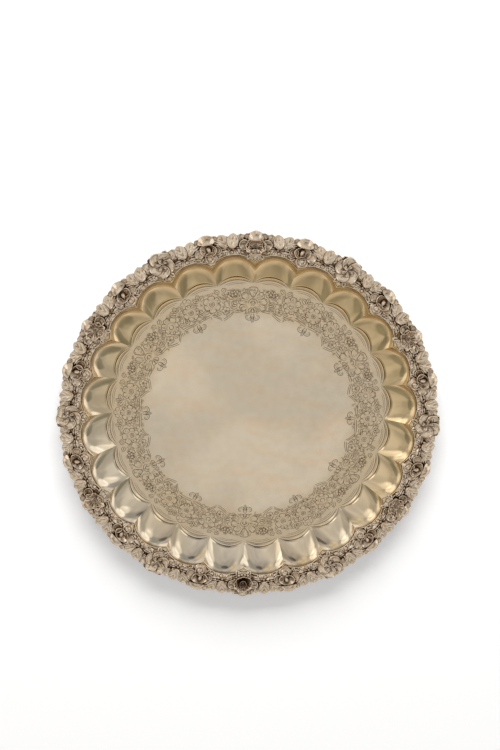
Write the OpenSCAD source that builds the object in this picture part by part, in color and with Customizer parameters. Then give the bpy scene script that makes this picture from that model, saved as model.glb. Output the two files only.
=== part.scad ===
// Round silver salver, 14 inches across: a fluted sheet body with a cast floral border.
// It lies face up, centred on Z, with its flat underside on z = 0. Millimetres.

/* [Tray] */
// Radius at the inner end of each ridge between two flutes
well_r = 126.2; // [120:0.2:132]
// Radius at the outer end of each ridge, where the flange starts
ridge_r = 146.6; // [143:0.2:148]
// How far the edge of the flat well bulges past the ridges
well_bulge = 4.4; // [4:0.1:6]
// How far the foot of each flute bulges past the ridges
foot_bulge = 6.6; // [6.2:0.1:10]
// How far each flute bulges past its ridges at the flange
flange_bulge = 7.5; // [6:0.1:8]
// Height of the flange above the floor of the well
rise = 14.4; // [10:0.2:20]
// Thickness of the silver sheet
sheet_t = 1; // [0.8:0.1:1.6]
// Radius of the trimmed edge of the flange, under the border
flange_r = 168; // [166:0.5:170]

// Height of the crescent step between the well and the foot of each flute
step_h = 1.2; // [0.8:0.1:2]

/* [Border] */
// Radius to the tips of the blossoms
tip_r = 177; // [176:0.5:180]
// Height of the poppies above the flange
poppy_h = 7; // [5:0.5:9]
// Height of the roses above the flange
rose_h = 6; // [4:0.5:8]
// Height of the tulip clusters above the flange
tulip_h = 6.5; // [5:0.5:8]
// Height of the leaves above the flange
leaf_h = 3.6; // [3:0.2:5]

/* [Hidden] */
$fn = 48;
count = 24;
pitch = 360 / count;
columns = 6; // steps across one flute of the sheet
flange_z = sheet_t + rise; // top of the flange
back_t = 1.2; // thickness of every casting's back
silver = [0.78, 0.75, 0.68];
satin = [0.74, 0.69, 0.60];

// The wire stands this far out from the flutes, and is this wide and high
wire_gap = 1.1;
wire_w = 1.3;
wire_h = 0.8;
// The well stops this far short of the ridges
well_gap = 0.5;
// How much of a flute's rise its slope, its curve and its steep end give, and how late that end comes
slope_share = 0.72;
curve_share = 0.14;
end_share = 1 - slope_share - curve_share;
end_power = 7;

poppy_r = 12;
rose_r = 11;
dome_r = 7.6; // outer petal of a tulip cluster
cup_r = 6;
rosette_r = 4.4;
spray_r = 8.8;
spray_at = 164.8; // radius to the middle of a leaf spray
leaf_len = 15;
leaf_w = 6.4;
bud_r = 2.3;

function pad2(n) = n < 10 ? str("0", n) : str(n);
// Blossoms go clockwise from the top: poppy, tulip, rose, tulip, poppy and so on
function kind(k) = k % 4 == 0 ? "poppy" : k % 4 == 2 ? "rose" : "tulip";
function blossom_name(k) =
    kind(k) == "poppy" ? str("poppy_blossom_", k / 4 + 1) :
    kind(k) == "rose" ? str("wild_rose_", (k - 2) / 4 + 1) :
    str("tulip_cluster_", pad2((k + 1) / 2));
function spray_name(k) = str("leaf_spray_", pad2(k + 1));

// A scallop is a circle of radius arc_r centred arc_at from the middle, through both of its ridges
function half_chord(ridge) = ridge * sin(pitch / 2);
function sagitta(ridge, bulge) = ridge + bulge - ridge * cos(pitch / 2);
function arc_r(ridge, bulge) =
    (pow(half_chord(ridge), 2) + pow(sagitta(ridge, bulge), 2)) / (2 * sagitta(ridge, bulge));
function arc_at(ridge, bulge) = ridge + bulge - arc_r(ridge, bulge);
// Radius of the scallops at t degrees from the middle of a flute, moved out by shift
function scallop(t, ridge, bulge, shift = 0) =
    let (at = arc_at(ridge, bulge), r = arc_r(ridge, bulge) + shift)
    at * cos(t) + sqrt(r * r - pow(at * sin(t), 2));

// The step is highest in the middle of a flute and dies away at its ridges
function step_z(t) = step_h * cos(90 * t / (pitch / 2));
// The flute's section: s runs from 0 at its foot to 1 at the flange, where the wall turns up steeply
function climb(s) = slope_share * s + curve_share * pow(s, 2) + end_share * pow(s, end_power);
function flute_z(t, s) = step_z(t) * (1 - s) + rise * climb(s);
function flute_r(t, s) =
    scallop(t, well_r, foot_bulge) * (1 - s) + scallop(t, ridge_r, flange_bulge) * s;

// The upper face's rings from the well outwards, each a radius and a height at t
function rings(t) = concat(
    [[scallop(t, well_r, well_bulge, -well_gap), 0]],
    [for (s = [0, 0.4, 0.7, 0.85, 1]) [flute_r(t, s), flute_z(t, s)]],
    [[flange_r, rise]]
);

module tray_body() {
    n = count * columns;
    last = len(rings(0)) - 1;
    step = 360 / n;
    // Angle of a column, and how far it is from the middle of its flute
    angles = [for (i = [0 : n - 1]) i * step];
    face = [for (a = angles) rings((a % pitch) - pitch / 2)];
    upper = [for (j = [0 : last], i = [0 : n - 1])
        [face[i][j][0] * cos(angles[i]), face[i][j][0] * sin(angles[i]), sheet_t + face[i][j][1]]];
    lower = [for (p = upper) [p[0], p[1], p[2] - sheet_t]];
    size = len(upper);
    function at(j, i) = j * n + i % n;
    points = concat(upper, lower, [[0, 0, sheet_t], [0, 0, 0]]);
    top_middle = 2 * size;
    faces = concat(
        [for (i = [0 : n - 1]) [top_middle, at(0, i + 1), at(0, i)]],
        [for (i = [0 : n - 1]) [top_middle + 1, size + at(0, i), size + at(0, i + 1)]],
        [for (j = [0 : last - 1], i = [0 : n - 1]) [at(j, i), at(j, i + 1), at(j + 1, i + 1)]],
        [for (j = [0 : last - 1], i = [0 : n - 1]) [at(j, i), at(j + 1, i + 1), at(j + 1, i)]],
        [for (j = [0 : last - 1], i = [0 : n - 1])
            [size + at(j, i), size + at(j + 1, i + 1), size + at(j, i + 1)]],
        [for (j = [0 : last - 1], i = [0 : n - 1])
            [size + at(j, i), size + at(j + 1, i), size + at(j + 1, i + 1)]],
        [for (i = [0 : n - 1]) [at(last, i), at(last, i + 1), size + at(last, i + 1)]],
        [for (i = [0 : n - 1]) [at(last, i), size + at(last, i + 1), size + at(last, i)]]
    );
    color(satin) polyhedron(points, faces);
}

// The area inside the flange's scallops, moved out by shift
module scalloped_area(shift) {
    at = arc_at(ridge_r, flange_bulge);
    r = arc_r(ridge_r, flange_bulge) + shift;
    circle(at);
    for (k = [0 : count - 1])
        rotate((k + 0.5) * pitch) translate([at, 0]) circle(r);
}

module fillet_wire() {
    color(silver) translate([0, 0, flange_z]) linear_extrude(wire_h) difference() {
        scalloped_area(wire_gap + wire_w);
        scalloped_area(wire_gap);
    }
}

// Puts a casting at radius r on the flange, k steps clockwise from +Y, with +X outwards
module on_flange(k, r) {
    rotate(90 - k * pitch) translate([r, 0, flange_z]) children();
}

// Part of a ball of radius r that stands h above the back
module dome(r, h) {
    ball = (r * r + h * h) / (2 * h);
    intersection() {
        translate([0, 0, h - ball]) sphere(ball);
        cylinder(h = h + 1, r = r + 1);
    }
}

// An open bowl with a flared rim, solid below
module cup(r, h) {
    rotate_extrude() polygon([
        [0, 0], [r * 0.72, 0], [r * 0.86, h * 0.55], [r, h * 0.9], [r * 0.95, h],
        [r * 0.62, h * 0.62], [r * 0.4, h * 0.3], [0, h * 0.25]
    ]);
}

module poppy(k) {
    bloom_r = poppy_r * 0.82;
    color(silver) on_flange(k, tip_r - poppy_r) {
        cylinder(h = back_t, r = poppy_r * 0.9);
        translate([poppy_r - bloom_r, 0, 0]) dome(bloom_r, poppy_h * 0.72);
        translate([bloom_r - poppy_r, 0, 0]) cup(bloom_r, poppy_h);
    }
}

module rose(k) {
    petals = 5;
    petal_r = rose_r * 0.47;
    color(silver) on_flange(k, tip_r - rose_r) {
        cylinder(h = back_t, r = rose_r * 0.8);
        for (i = [0 : petals - 1])
            rotate(i * 360 / petals) translate([rose_r - petal_r, 0, 0]) dome(petal_r, rose_h * 0.7);
        cylinder(h = rose_h * 0.8, r = rose_r * 0.34);
        dome(rose_r * 0.3, rose_h);
    }
}

module tulip(k) {
    color(silver) {
        on_flange(k, tip_r - dome_r) dome(dome_r, tulip_h * 0.8);
        on_flange(k, tip_r - dome_r * 2 + 0.4) cup(cup_r, tulip_h);
        on_flange(k, ridge_r + 5 + rosette_r) cylinder(h = back_t, r = rosette_r);
        on_flange(k, ridge_r + 5 + rosette_r) dome(rosette_r * 0.95, tulip_h * 0.6);
    }
}

module blossom(k) {
    if (kind(k) == "poppy") poppy(k);
    if (kind(k) == "rose") rose(k);
    if (kind(k) == "tulip") tulip(k);
}

// The room that the blossom at k takes up, for the leaves beside it to stop at
module blossom_room(k) {
    margin = 0.15;
    r = kind(k) == "rose" ? rose_r : poppy_r;
    on_flange(k, tip_r - r) translate([0, 0, -1]) cylinder(h = poppy_h * 2, r = r + margin);
}

// A pointed oval leaf with its length along X
module leaf(len, w, h) {
    r = (len * len / 4 + w * w / 4) / w;
    intersection() {
        translate([0, r - w / 2, 0]) cylinder(h = h, r = r);
        translate([0, w / 2 - r, 0]) cylinder(h = h, r = r);
    }
}

module leaf_spray(k) {
    color(silver) difference() {
        on_flange(k + 0.5, spray_at) {
            cylinder(h = back_t, r = spray_r * 0.8);
            translate([4.4, 4.6, 0]) rotate(62) leaf(leaf_len, leaf_w, leaf_h);
            translate([4.4, -4.6, 0]) rotate(-62) leaf(leaf_len, leaf_w, leaf_h);
            translate([-2.2, 0, 0]) rotate(90) leaf(leaf_len, leaf_w * 0.9, leaf_h * 0.7);
            translate([-4.6, 4, 0]) dome(bud_r, leaf_h * 0.8);
            translate([-4.6, -4, 0]) dome(bud_r, leaf_h * 0.8);
        }
        blossom_room(k);
        blossom_room(k + 1);
    }
}

tray_body();
fillet_wire();
for (k = [0 : count - 1]) {
    blossom(k);
    leaf_spray(k);
}
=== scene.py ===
import math
import random

import bmesh
import bpy
import numpy as np
from mathutils import Matrix, Vector
from mathutils.geometry import delaunay_2d_cdt
from mathutils.kdtree import KDTree


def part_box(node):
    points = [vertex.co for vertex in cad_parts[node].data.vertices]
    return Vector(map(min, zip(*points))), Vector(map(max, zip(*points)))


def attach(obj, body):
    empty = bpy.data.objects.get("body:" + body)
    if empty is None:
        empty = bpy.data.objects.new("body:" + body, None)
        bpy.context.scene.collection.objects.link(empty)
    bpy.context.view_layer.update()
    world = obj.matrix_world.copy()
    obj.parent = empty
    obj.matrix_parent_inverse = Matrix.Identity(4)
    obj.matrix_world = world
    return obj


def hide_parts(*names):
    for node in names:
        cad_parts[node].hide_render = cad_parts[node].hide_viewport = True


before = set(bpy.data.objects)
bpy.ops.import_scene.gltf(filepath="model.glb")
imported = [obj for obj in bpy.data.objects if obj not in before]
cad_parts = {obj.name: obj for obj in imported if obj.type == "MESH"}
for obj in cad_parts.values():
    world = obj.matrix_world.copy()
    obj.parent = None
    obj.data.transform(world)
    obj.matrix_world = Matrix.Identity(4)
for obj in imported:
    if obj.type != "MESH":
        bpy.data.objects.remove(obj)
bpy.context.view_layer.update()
print("frame loaded:", len(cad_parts), "nodes")

# the tray's own box gives the height of the flange and the reach of its edge
_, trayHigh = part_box("tray_body")
flangeRadius = trayHigh[0]
flangeTop = trayHigh[2]

salver = {
    "flutes": 24,
    "wellRadius": 0.1262,        # inner end of each ridge
    "ridgeRadius": 0.1466,       # outer end of each ridge
    "wellBulge": 0.0044,
    "footBulge": 0.0066,
    "flangeBulge": 0.0075,
    "wellGap": 0.0005,           # how far short of the ridges the well stops
    "sheet": 0.001,
    "stepHeight": 0.0012,
    "climb": (0.72, 0.14, 0.14), # how much of a flute's rise its slope, its curve and its steep end give
    "climbEnd": 7.0,             # how late the steep end comes
}
wellTop = salver["sheet"]
pitch = 2 * math.pi / salver["flutes"]


class Field:
    # a Geometry Nodes socket that sums can be written on: every sign adds a Math node
    def __init__(self, tree, socket):
        self.tree = tree
        self.socket = socket

    def math(self, operation, *others):
        node = self.tree.nodes.new("ShaderNodeMath")
        node.operation = operation
        for slot, value in zip(node.inputs, (self, *others)):
            if isinstance(value, Field):
                self.tree.links.new(value.socket, slot)
            else:
                slot.default_value = value
        return Field(self.tree, node.outputs[0])

    def __add__(self, other):
        return self.math("ADD", other)

    def __sub__(self, other):
        return self.math("SUBTRACT", other)

    def __mul__(self, other):
        return self.math("MULTIPLY", other)

    def __truediv__(self, other):
        return self.math("DIVIDE", other)

    def __pow__(self, other):
        return self.math("POWER", other)

    __radd__ = __add__
    __rmul__ = __mul__

    def __rsub__(self, other):
        return (self * -1.0) + other


def sine(field):
    return field.math("SINE")


def cosine(field):
    return field.math("COSINE")


def root(field):
    return field.math("SQRT")


def mix(a, b, part):
    return a + (b - a) * part


def startTree(name, sizes):
    # a tree with one named input for each size, and the fields that stand for them
    tree = bpy.data.node_groups.new(name, "GeometryNodeTree")
    tree.interface.new_socket("Geometry", in_out="INPUT", socket_type="NodeSocketGeometry")
    tree.interface.new_socket("Geometry", in_out="OUTPUT", socket_type="NodeSocketGeometry")
    for label, value in sizes.items():
        kind = "NodeSocketInt" if isinstance(value, int) else "NodeSocketFloat"
        socket = tree.interface.new_socket(label, in_out="INPUT", socket_type=kind)
        socket.default_value = value
    inside = tree.nodes.new("NodeGroupInput")
    return tree, {label: Field(tree, inside.outputs[label]) for label in ("Geometry", *sizes)}


def combine(tree, *parts):
    # a vector socket from three fields
    node = tree.nodes.new("ShaderNodeCombineXYZ")
    for part, slot in zip(parts, node.inputs):
        tree.links.new(part.socket, slot)
    return node.outputs[0]


def strip(tree, columns, rows):
    # a grid's mesh, and fields from 0 to 1 that run along it and across it
    grid = tree.nodes.new("GeometryNodeMeshGrid")
    tree.links.new(columns.socket, grid.inputs["Vertices X"])
    grid.inputs["Vertices Y"].default_value = rows + 1
    split = tree.nodes.new("ShaderNodeSeparateXYZ")
    tree.links.new(tree.nodes.new("GeometryNodeInputPosition").outputs[0], split.inputs[0])
    along, across = (Field(tree, split.outputs[axis]) + 0.5 for axis in "XY")
    return grid.outputs["Mesh"], along, across


def bend(tree, mesh, r, angle, z):
    # moves every point of a strip to a radius, an angle and a height
    put = tree.nodes.new("GeometryNodeSetPosition")
    tree.links.new(mesh, put.inputs["Geometry"])
    tree.links.new(combine(tree, r * cosine(angle), r * sine(angle), z), put.inputs["Position"])
    return put.outputs[0]


def finishTree(tree, geometry, material, merge=None):
    # realizes, welds points closer than merge, sets the material and ends the tree
    realize = tree.nodes.new("GeometryNodeRealizeInstances")
    tree.links.new(geometry, realize.inputs[0])
    last = realize.outputs[0]
    if merge:
        weld = tree.nodes.new("GeometryNodeMergeByDistance")
        weld.inputs["Distance"].default_value = merge
        tree.links.new(last, weld.inputs["Geometry"])
        last = weld.outputs[0]
    paint = tree.nodes.new("GeometryNodeSetMaterial")
    paint.inputs["Material"].default_value = material
    tree.links.new(last, paint.inputs["Geometry"])
    out = tree.nodes.new("NodeGroupOutput")
    tree.links.new(paint.outputs[0], out.inputs[0])


def runTree(tree, name, sizes, startMesh=None):
    # evaluates a tree on its own object and gives the plain mesh
    holder = bpy.data.objects.new(name, startMesh or bpy.data.meshes.new(name))
    bpy.context.scene.collection.objects.link(holder)
    modifier = holder.modifiers.new("nodes", "NODES")
    modifier.node_group = tree
    for item in tree.interface.items_tree:
        if item.item_type == "SOCKET" and item.in_out == "INPUT" and item.name in sizes:
            modifier[item.identifier] = sizes[item.name]
    bpy.context.view_layer.update()
    graph = bpy.context.evaluated_depsgraph_get()
    mesh = bpy.data.meshes.new_from_object(holder.evaluated_get(graph), depsgraph=graph)
    bpy.data.objects.remove(holder)
    return mesh


def addPiece(name, mesh, node):
    piece = bpy.data.objects.new(name, mesh)
    bpy.context.scene.collection.objects.link(piece)
    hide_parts(node)
    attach(piece, "root")


class Nodes:
    # adds and joins the shader nodes of one material or world
    def __init__(self, owner):
        self.tree = owner.node_tree
        self.tree.nodes.clear()

    def make(self, kind, inputs=None, **values):
        # an input may be a number, a colour, a vector or another node's socket
        node = self.tree.nodes.new(kind)
        for key, value in values.items():
            setattr(node, key, value)
        for key, value in (inputs or {}).items():
            slot = node.inputs[key]
            if isinstance(value, (int, float)):
                slot.default_value = value
            elif isinstance(value, tuple):
                slot.default_value = (*value, 1)[:len(slot.default_value)]
            else:
                self.tree.links.new(value, slot)
        return node

    def end(self, kind, shader):
        self.make(kind, {0: shader})

    def mixColour(self, factor, a, b):
        return self.make("ShaderNodeMix", {0: factor, 6: a, 7: b}, data_type="RGBA").outputs[2]

    def mixValue(self, factor, a, b):
        return self.make("ShaderNodeMix", {0: factor, 2: a, 3: b}, data_type="FLOAT").outputs[0]

    def remap(self, value, low, high, outLow=0.0, outHigh=1.0, kind="SMOOTHSTEP"):
        ends = {"From Min": low, "From Max": high, "To Min": outLow, "To Max": outHigh, "Value": value}
        return self.make("ShaderNodeMapRange", ends, interpolation_type=kind).outputs["Result"]

    def noise(self, place, scale, detail, roughness=0.5):
        inputs = {"Vector": place, "Scale": scale, "Detail": detail, "Roughness": roughness}
        return self.make("ShaderNodeTexNoise", inputs).outputs["Fac"]

    def heightOf(self, place):
        return self.make("ShaderNodeSeparateXYZ", {0: place}).outputs["Z"]

    def lengthOf(self, vector):
        return self.make("ShaderNodeVectorMath", {0: vector}, operation="LENGTH").outputs["Value"]

    def along(self, place, direction):
        # how far a place lies in a direction
        inputs = {0: place, 1: direction}
        return self.make("ShaderNodeVectorMath", inputs, operation="DOT_PRODUCT").outputs["Value"]

    def product(self, a, b):
        return self.make("ShaderNodeMath", {0: a, 1: b}, operation="MULTIPLY").outputs[0]

    def scaled(self, vector, amount):
        return self.make("ShaderNodeVectorMath", {0: vector, "Scale": amount}, operation="SCALE").outputs[0]

    def stretched(self, place, scale, turn=0.0):
        inputs = {"Vector": place, "Scale": scale, "Rotation": (0, 0, turn)}
        return self.make("ShaderNodeMapping", inputs).outputs[0]

    def openness(self, reach, low, high, samples=8):
        # 0 in a recess and 1 out in the open
        node = self.make("ShaderNodeAmbientOcclusion", {"Distance": reach}, samples=samples)
        return self.remap(node.outputs["AO"], low, high)

    def bump(self, height, strength, distance, **under):
        inputs = {"Height": height, "Strength": strength, "Distance": distance, **under}
        return self.make("ShaderNodeBump", inputs).outputs[0]

    def metal(self, colour, roughness, **bumps):
        inputs = {"Metallic": 1.0, "Base Color": colour, "Roughness": roughness, **bumps}
        self.end("ShaderNodeOutputMaterial", self.make("ShaderNodeBsdfPrincipled", inputs).outputs[0])


def startMaterial(name):
    material = bpy.data.materials.new(name)
    material.use_nodes = True
    return material, Nodes(material)


sheetLook = {
    "clean": (0.83, 0.72, 0.565),
    "golden": (0.84, 0.635, 0.365),
    "blush": (0.85, 0.69, 0.51),
    "worn": (0.70, 0.55, 0.36),      # the engraved band
    "flangeShade": (0.34, 0.23, 0.12),    # painted shade on the flange between the wire and the castings
    # tarnish and painted shade in the engraved grooves, and painted shade along the flutes' feet
    "grooveTarnishAndShade": (0.13, 0.075, 0.033),
    # painted shade in the creases
    "crease": (0.22, 0.14, 0.065),
    "reach": 0.0014,                 # how narrow a crease counts as dark for the painted shade
    "wellTop": (0.0002, 0.0007),     # heights above the well between which satin turns to polish
    "streaks": (18, 60, 30),         # handling marks lie along X
    "dull": (0.92, 1.06),            # the darkest and the brightest cloud on the well
    "goldSide": (0.45, 0.85, 0),     # the flutes turn more golden this way
    "goldFrom": (-0.10, 0.12),
    "stain": 0.6,
    "band": (0.090, 0.103),          # radii between which the engraved band's dirt comes in
    "bandDirt": 0.75,
    "flangeShadeFrom": (0.1490, 0.1565),
    "flangeShadeHeight": (-0.0012, -0.0003),
    "satin": (0.35, 0.46),           # roughness
    "polished": (0.04, 0.12),
    "brush": (900, 120, 100),
    "brushTurn": 0.5,
}


def wellColourOf(nodes, place, broad):
    # clean and blushed streaks, soft clouds, and uneven dirt on the engraved band
    look = sheetLook
    streaks = nodes.noise(nodes.stretched(place, look["streaks"]), 1, 5, 0.65)
    colour = nodes.mixColour(nodes.remap(streaks, 0.42, 0.66), look["clean"], look["blush"])
    colour = nodes.scaled(colour, nodes.remap(broad, 0.42, 0.62, *look["dull"]))
    flat = nodes.make("ShaderNodeVectorMath", {0: place, 1: (1, 1, 0)}, operation="MULTIPLY")
    radius = nodes.lengthOf(flat.outputs[0])
    inner = nodes.remap(radius, *look["band"], 0.0, look["bandDirt"])
    dirt = nodes.product(inner, nodes.remap(broad, 0.3, 0.62, 0.25, 1.0))
    return nodes.mixColour(dirt, colour, look["worn"]), radius


def fluteColourOf(nodes, place, broad):
    look = sheetLook
    side = nodes.remap(nodes.along(place, look["goldSide"]), *look["goldFrom"])
    flute = nodes.mixColour(side, look["clean"], look["golden"])
    stained = nodes.mixColour(nodes.remap(broad, 0.38, 0.68), flute, look["golden"])
    return nodes.mixColour(look["stain"], flute, stained)


def sheetSilver():
    look = sheetLook
    material, nodes = startMaterial("sheetSilver")
    place = nodes.make("ShaderNodeTexCoord").outputs["Object"]
    height = nodes.heightOf(place)
    broad = nodes.noise(place, 9, 2)
    # the well is satin up to the step, and the height tells it from the flutes
    low, high = look["wellTop"]
    onWell = nodes.remap(height, wellTop + low, wellTop + high, 1, 0)
    wellColour, radius = wellColourOf(nodes, place, broad)
    colour = nodes.mixColour(onWell, fluteColourOf(nodes, place, broad), wellColour)
    # painted shade: the flange between the wire and the castings is darkened
    low, high = look["flangeShadeHeight"]
    raised = nodes.remap(height, flangeTop + low, flangeTop + high)
    inFlangeShade = nodes.product(nodes.remap(radius, *look["flangeShadeFrom"]), raised)
    colour = nodes.mixColour(inFlangeShade, colour, look["flangeShade"])
    # painted shade in the creases and beside the wire, darkest where they are narrowest; then tarnish and
    # painted shade in the grooves, and painted shade along the flutes' feet
    clear = nodes.openness(look["reach"], 0.35, 0.9, samples=6)
    colour = nodes.mixColour(clear, look["crease"], colour)
    # the cut attribute paints tarnish and shade into the engraved grooves, and shade along the flutes' feet
    cut = nodes.make("ShaderNodeAttribute", attribute_name="cut")
    colour = nodes.mixColour(cut.outputs["Fac"], colour, look["grooveTarnishAndShade"])

    grain = nodes.noise(place, 140, 3)
    polished = nodes.remap(grain, 0.3, 0.7, *look["polished"])
    roughness = nodes.mixValue(onWell, polished, nodes.remap(grain, 0.3, 0.7, *look["satin"]))

    # brushed scratches and soft hammer marks
    brushed = nodes.noise(nodes.stretched(place, look["brush"], look["brushTurn"]), 1, 2)
    scratches = nodes.bump(brushed, 0.12, 0.00008)
    dents = nodes.bump(nodes.noise(place, 75, 1), 0.22, 0.0008, Normal=scratches)
    nodes.metal(colour, roughness, Normal=dents)
    return material


wireLook = {
    "bright": (0.90, 0.80, 0.66),
    "gold": (0.80, 0.60, 0.34),
    "foot": (0.16, 0.10, 0.05),      # painted shade where the wire meets the flange
    "wireShadeHeight": (0.0001, 0.0005),
    "rough": (0.14, 0.26),
}


def wireSilver():
    look = wireLook
    material, nodes = startMaterial("wireSilver")
    place = nodes.make("ShaderNodeTexCoord").outputs["Object"]
    cloud = nodes.noise(place, 60, 3)
    colour = nodes.mixColour(nodes.remap(cloud, 0.4, 0.65), look["bright"], look["gold"])
    # painted shade darkens the wire's foot against the flange
    low, high = look["wireShadeHeight"]
    clear = nodes.remap(nodes.heightOf(place), flangeTop + low, flangeTop + high)
    colour = nodes.mixColour(clear, look["foot"], colour)
    nodes.metal(colour, nodes.remap(cloud, 0.3, 0.7, *look["rough"]))
    return material


castLook = {
    "high": (0.87, 0.73, 0.58),
    # tarnish and painted shade in the recesses
    "low": (0.17, 0.095, 0.047),
    # painted shade in the narrow gaps between parts
    "line": (0.05, 0.027, 0.014),
    "warm": (0.62, 0.43, 0.25),
    "warmth": 0.55,
    "reach": 0.0045,         # how deep a recess counts as dark for its tarnish and painted shade
    "seam": 0.0013,          # how narrow a gap counts as a black line of painted shade
    "rough": (0.5, 0.16),    # in a recess and out in the open
}


def castSilver():
    look = castLook
    material, nodes = startMaterial("castSilver")
    place = nodes.make("ShaderNodeTexCoord").outputs["Object"]
    # tarnish and painted shade in the recesses, found by ambient occlusion
    clear = nodes.openness(look["reach"], 0.42, 0.94)
    mottle = nodes.remap(nodes.noise(place, 240, 4), 0.42, 0.68)
    metal = nodes.mixColour(mottle, look["high"], look["warm"])
    metal = nodes.mixColour(look["warmth"], look["high"], metal)
    colour = nodes.mixColour(clear, look["low"], metal)
    # painted shade as black lines in the narrow gaps between parts
    colour = nodes.mixColour(nodes.openness(look["seam"], 0.45, 0.88), look["line"], colour)
    roughness = nodes.remap(clear, 0.0, 1.0, *look["rough"], "LINEAR")
    grain = nodes.bump(nodes.noise(place, 900, 3), 0.25, 0.00015)
    nodes.metal(colour, roughness, Normal=grain)
    return material


paperLook = {
    "colour": (0.86, 0.86, 0.865),
    "lift": 0.33,            # keeps the paper white to the camera, with a pale shadow
    "fades": (0.45, 1.6),    # how far out the paper turns plain white
}


def floorPaper():
    material, nodes = startMaterial("floorPaper")
    shader = nodes.make("ShaderNodeBsdfPrincipled", {"Roughness": 0.9, "Base Color": paperLook["colour"]})
    away = nodes.lengthOf(nodes.make("ShaderNodeTexCoord").outputs["Object"])
    amount = nodes.remap(away, *paperLook["fades"], paperLook["lift"], 1.0)
    seen = nodes.product(nodes.make("ShaderNodeLightPath").outputs["Is Camera Ray"], amount)
    lift = nodes.make("ShaderNodeEmission", {"Strength": seen})
    both = nodes.make("ShaderNodeAddShader", {0: shader.outputs[0], 1: lift.outputs[0]})
    nodes.end("ShaderNodeOutputMaterial", both.outputs[0])
    return material


silverSheet = sheetSilver()
silverWire = wireSilver()
silverCast = castSilver()

view = {
    "eye": (-0.0434, 0.3591, 1.0989),
    "right": (0.9989, 0.0361, 0.0288),
    "up": (-0.0266, 0.9596, -0.2803),
    "back": (-0.0378, 0.2792, 0.9595),
    "lens": 59.5,
    "sensor": 36,
    "clip": (0.01, 50),
}


def setCamera():
    data = bpy.data.cameras.new("camera")
    data.lens = view["lens"]
    data.sensor_width = view["sensor"]
    data.clip_start, data.clip_end = view["clip"]
    camera = bpy.data.objects.new("camera", data)
    bpy.context.scene.collection.objects.link(camera)
    turn = Matrix((view["right"], view["up"], view["back"])).transposed().to_4x4()
    camera.matrix_world = Matrix.Translation(view["eye"]) @ turn
    bpy.context.scene.camera = camera


def setFloor():
    mesh = bpy.data.meshes.new("floor")
    shape = bmesh.new()
    bmesh.ops.create_circle(shape, cap_ends=True, segments=96, radius=studio["floorRadius"])
    shape.to_mesh(mesh)
    shape.free()
    mesh.materials.append(floorPaper())
    floor = bpy.data.objects.new("floor", mesh)
    bpy.context.scene.collection.objects.link(floor)


studio = {
    # brightness of the surroundings by height: 0 is the horizon and 1 is overhead
    "sky": (
        (0.00, (0.70, 0.68, 0.66)),
        (0.20, (0.66, 0.64, 0.62)),
        (0.34, (0.50, 0.49, 0.47)),
        (0.60, (0.52, 0.51, 0.48)),
        (0.84, (0.68, 0.67, 0.65)),
        (1.00, (0.76, 0.75, 0.72)),
    ),
    # soft patches: direction, where they begin and are full, and what they add
    "patches": (
        ((0.80, 0.50, 0.34), 0.955, 0.980, (0.62, 0.61, 0.60)),
        ((-0.82, 0.46, 0.34), 0.955, 0.980, (0.62, 0.61, 0.60)),
        ((0.66, 0.42, 0.62), 0.975, 0.990, (0.50, 0.49, 0.47)),
        ((-0.70, 0.34, 0.62), 0.972, 0.990, (0.50, 0.49, 0.47)),
        ((0.00, 0.68, 0.73), 0.925, 0.985, (-0.20, -0.20, -0.18)),
        ((0.00, 1.00, 0.03), 0.960, 0.995, (0.40, 0.39, 0.38)),
        ((0.10, 0.82, 0.56), 0.984, 0.994, (-0.22, -0.21, -0.18)),
        ((-0.34, 0.80, 0.50), 0.965, 0.985, (0.16, 0.12, 0.03)),
        ((0.42, 0.74, 0.52), 0.965, 0.985, (-0.12, -0.10, -0.08)),
        ((-0.60, -0.72, 0.28), 0.960, 0.978, (-0.22, -0.21, -0.23)),
        ((-0.88, -0.36, 0.34), 0.970, 0.985, (-0.24, -0.23, -0.25)),
        ((-0.99, -0.10, 0.10), 0.960, 0.990, (0.30, 0.29, 0.27)),
        ((0.60, -0.72, 0.28), 0.960, 0.978, (-0.22, -0.21, -0.23)),
        ((0.88, -0.36, 0.34), 0.970, 0.985, (-0.24, -0.23, -0.25)),
        ((0.99, -0.10, 0.10), 0.960, 0.990, (0.30, 0.29, 0.27)),
        ((0.00, -0.95, 0.25), 0.900, 0.985, (-0.12, -0.12, -0.13)),
    ),
    "uneven": (0.84, 1.14),      # the surroundings are not quite smooth
    "clouds": 3.2,
    "floorRadius": 2.4,
    "paper": 1.0,                # what the camera sees behind the floor
    "spill": 0.46,               # what of the surroundings reaches the floor
    "keyPower": 112.0,
    "keySize": (2.2, 1.2),
    "keyPlace": (-0.1, 2.35, 1.15),
}


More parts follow.
